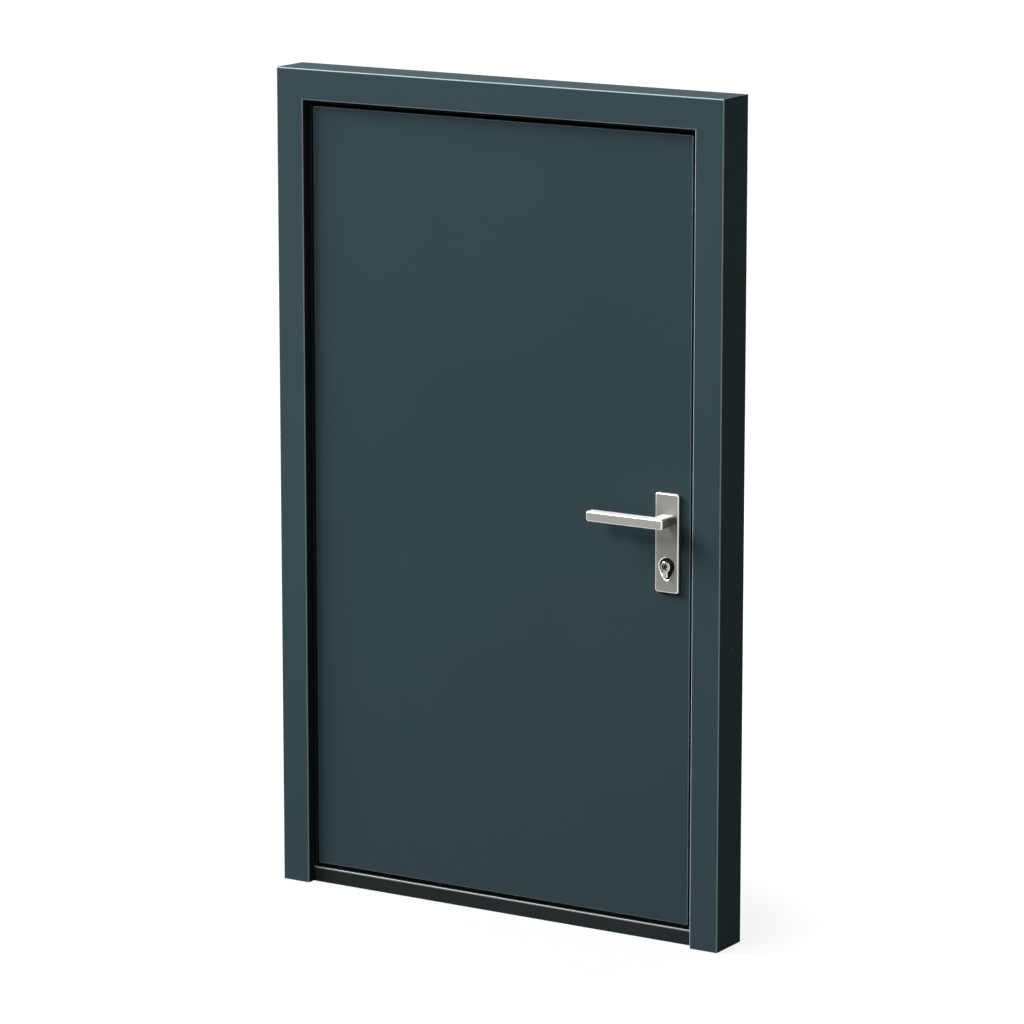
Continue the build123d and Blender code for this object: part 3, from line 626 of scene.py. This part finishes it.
def add_fixings():
    """Screws, anchor caps, hinge washers and the levers' set screws."""
    wing_screw = model_screw("wing_screw", **WING_SCREW)
    edge_screw = model_screw("edge_screw", **EDGE_SCREW)
    anchor_cap = model_cap("anchor_cap", **ANCHOR_CAP)
    washer = model_washer("washer", **WASHER)
    grub = model_grub("grub", **GRUB)
    axis_x, axis_y = HINGE_AXIS
    for level, middle in HINGE_HEIGHTS.items():
        heights = [middle + offset for offset in WING_SCREW_OFFSETS]
        on_frame = [(axis_x - WING_SCREW_REACH, WING_FACE_Y, height) for height in heights]
        on_leaf = [(axis_x + WING_SCREW_REACH, WING_FACE_Y, height) for height in heights]
        set_copies(wing_screw, f"{level}_hinge_frame_screw", on_frame, (0, 1, 0), "frame")
        set_copies(wing_screw, f"{level}_hinge_leaf_screw", on_leaf, (0, 1, 0), "leaf")
        low = middle - KNUCKLE_GAP_MIDDLE - WASHER["height"] / 2
        high = middle + KNUCKLE_GAP_MIDDLE - WASHER["height"] / 2
        rings = [(axis_x, axis_y, low), (axis_x, axis_y, high)]
        set_copies(washer, f"{level}_hinge_washer", rings, (0, 0, 1), "frame")
    edge_places = [(FACEPLATE_X, 0, height) for height in FACEPLATE_SCREWS]
    set_copies(edge_screw, "faceplate_screw", edge_places, (1, 0, 0), "leaf")
    strike_places = [(STRIKE_X, 0, height) for height in STRIKE_SCREWS]
    set_copies(edge_screw, "strike_screw", strike_places, (-1, 0, 0), "frame")
    plate_places = [(HANDLE_X, INSIDE_PLATE_Y, height) for height in PLATE_SCREWS]
    set_copies(wing_screw, "inside_plate_screw", plate_places, (0, 1, 0), "leaf")
    grub_places = [(HANDLE_X, OUTSIDE_GRUB_Y, NECK_UNDERSIDE), (HANDLE_X, INSIDE_GRUB_Y, NECK_UNDERSIDE)]
    set_copies(grub, "lever_grub_screw", grub_places, (0, 0, -1), "lever")
    for side, label in ((-1, "hinge_jamb"), (1, "lock_jamb")):
        outside = [(side * OUTSIDE_X, ANCHOR_Y, height) for height in ANCHOR_HEIGHTS]
        inside = [(side * JAMB_INNER_X, ANCHOR_Y, height) for height in ANCHOR_HEIGHTS]
        set_copies(anchor_cap, f"{label}_outer_cap", outside, (side, 0, 0), "frame")
        set_copies(anchor_cap, f"{label}_inner_cap", inside, (-side, 0, 0), "frame")
    for master in (wing_screw, edge_screw, anchor_cap, washer, grub):
        bpy.data.objects.remove(master)


add_fixings()


# Studio: background, floor, lamps and camera


def seen_directly(tree):
    """Two masks: one for camera and transmission rays, one for glossy rays."""
    path = tree.nodes.new("ShaderNodeLightPath")
    straight = add_math(
        tree, "MAXIMUM", path.outputs["Is Camera Ray"], path.outputs["Is Transmission Ray"],
    )
    return straight, path.outputs["Is Glossy Ray"]


def make_world():
    """White behind the door, a dimmer white in reflections, and soft light from all round."""
    world = bpy.data.worlds.new("studio")
    bpy.context.scene.world = world
    world.use_nodes = True
    tree = world.node_tree
    background = tree.nodes["Background"]
    background.inputs["Color"].default_value = (1, 1, 1, 1)
    camera_ray, glossy_ray = seen_directly(tree)
    reflected = add_range(tree, glossy_ray, 0, 1, AMBIENT_STRENGTH, REFLECTED_STRENGTH)
    strength = add_range(tree, camera_ray, 0, 1, reflected, 1.0)
    tree.links.new(strength, background.inputs["Strength"])


def make_floor():
    """A white floor that keeps the door's shadow near it and fades to pure white."""
    bpy.ops.object.select_all(action="DESELECT")
    bpy.ops.mesh.primitive_plane_add(size=FLOOR_SIZE, location=(0, 0, -FLOOR_DROP))
    floor = bpy.context.object
    floor.name = "floor"
    material = bpy.data.materials.new("white_floor")
    material.use_nodes = True
    tree = material.node_tree
    tree.nodes.remove(tree.nodes["Principled BSDF"])
    output = tree.nodes["Material Output"]
    place = tree.nodes.new("ShaderNodeTexCoord").outputs["Object"]
    length = tree.nodes.new("ShaderNodeVectorMath")
    length.operation = "LENGTH"
    tree.links.new(place, length.inputs[0])
    radius = length.outputs["Value"]
    glow_shown = add_range(tree, radius, FLOOR_GLOW_START, FLOOR_GLOW_RADIUS, FLOOR_GLOW_NEAR, 1.0)
    camera_ray, glossy_ray = seen_directly(tree)
    glow_glossy = add_range(tree, glossy_ray, 0, 1, 0.0, REFLECTED_STRENGTH)
    glow = add_range(tree, camera_ray, 0, 1, glow_glossy, glow_shown)
    emission = tree.nodes.new("ShaderNodeEmission")
    tree.links.new(glow, emission.inputs["Strength"])
    diffuse = tree.nodes.new("ShaderNodeBsdfDiffuse")
    diffuse.inputs["Color"].default_value = (FLOOR_ALBEDO, FLOOR_ALBEDO, FLOOR_ALBEDO, 1)
    both = tree.nodes.new("ShaderNodeAddShader")
    tree.links.new(emission.outputs["Emission"], both.inputs[0])
    tree.links.new(diffuse.outputs["BSDF"], both.inputs[1])
    tree.links.new(both.outputs["Shader"], output.inputs["Surface"])
    floor.data.materials.append(material)


def add_softbox(name, location, target, width, height, watts):
    """An area lamp that looks at a point and stays out of the picture."""
    lamp = bpy.data.lights.new(name, "AREA")
    lamp.shape = "RECTANGLE"
    lamp.size = width
    lamp.size_y = height
    lamp.energy = watts
    holder = bpy.data.objects.new(name, lamp)
    bpy.context.collection.objects.link(holder)
    holder.location = location
    aim = Vector(target) - Vector(location)
    holder.rotation_euler = aim.to_track_quat("-Z", "Y").to_euler()
    holder.visible_camera = False


def make_camera():
    """The photograph's camera: right of the door and above it, with a long lens."""
    data = bpy.data.cameras.new("camera")
    data.lens = VIEW_LENS
    data.sensor_width = VIEW_SENSOR
    camera = bpy.data.objects.new("camera", data)
    bpy.context.collection.objects.link(camera)
    azimuth = math.radians(VIEW_AZIMUTH)
    elevation = math.radians(VIEW_ELEVATION)
    back = Vector((
        math.sin(azimuth) * math.cos(elevation),
        -math.cos(azimuth) * math.cos(elevation),
        math.sin(elevation),
    ))
    camera.location = VIEW_AIM + back * VIEW_DISTANCE
    camera.rotation_euler = (-back).to_track_quat("-Z", "Y").to_euler()
    data.clip_end = VIEW_CLIP
    bpy.context.scene.camera = camera


bpy.context.scene.view_settings.view_transform = "Standard"
make_world()
make_floor()
add_softbox("front_light", (-2.5, -8.0, 7.0), (0, 0, 1.0), 4.0, 2.0, 500.0)
add_softbox("upper_light", (-16.0, -5.9, 12.8), (0, 0, 1.2), 10.0, 10.0, 8900.0)
add_softbox("side_light", (8.0, 2.5, 3.0), (0, 0, 1.0), 3.0, 3.0, 112.0)
add_softbox("back_panel", (-3.2, 5.7, 2.6), (0, 0, 1.4), 5.0, 5.0, 60.0)
add_softbox("inner_light", (-0.3, 6.4, 1.8), (0, 0, 1.1), 1.6, 1.6, 380.0)
make_camera()
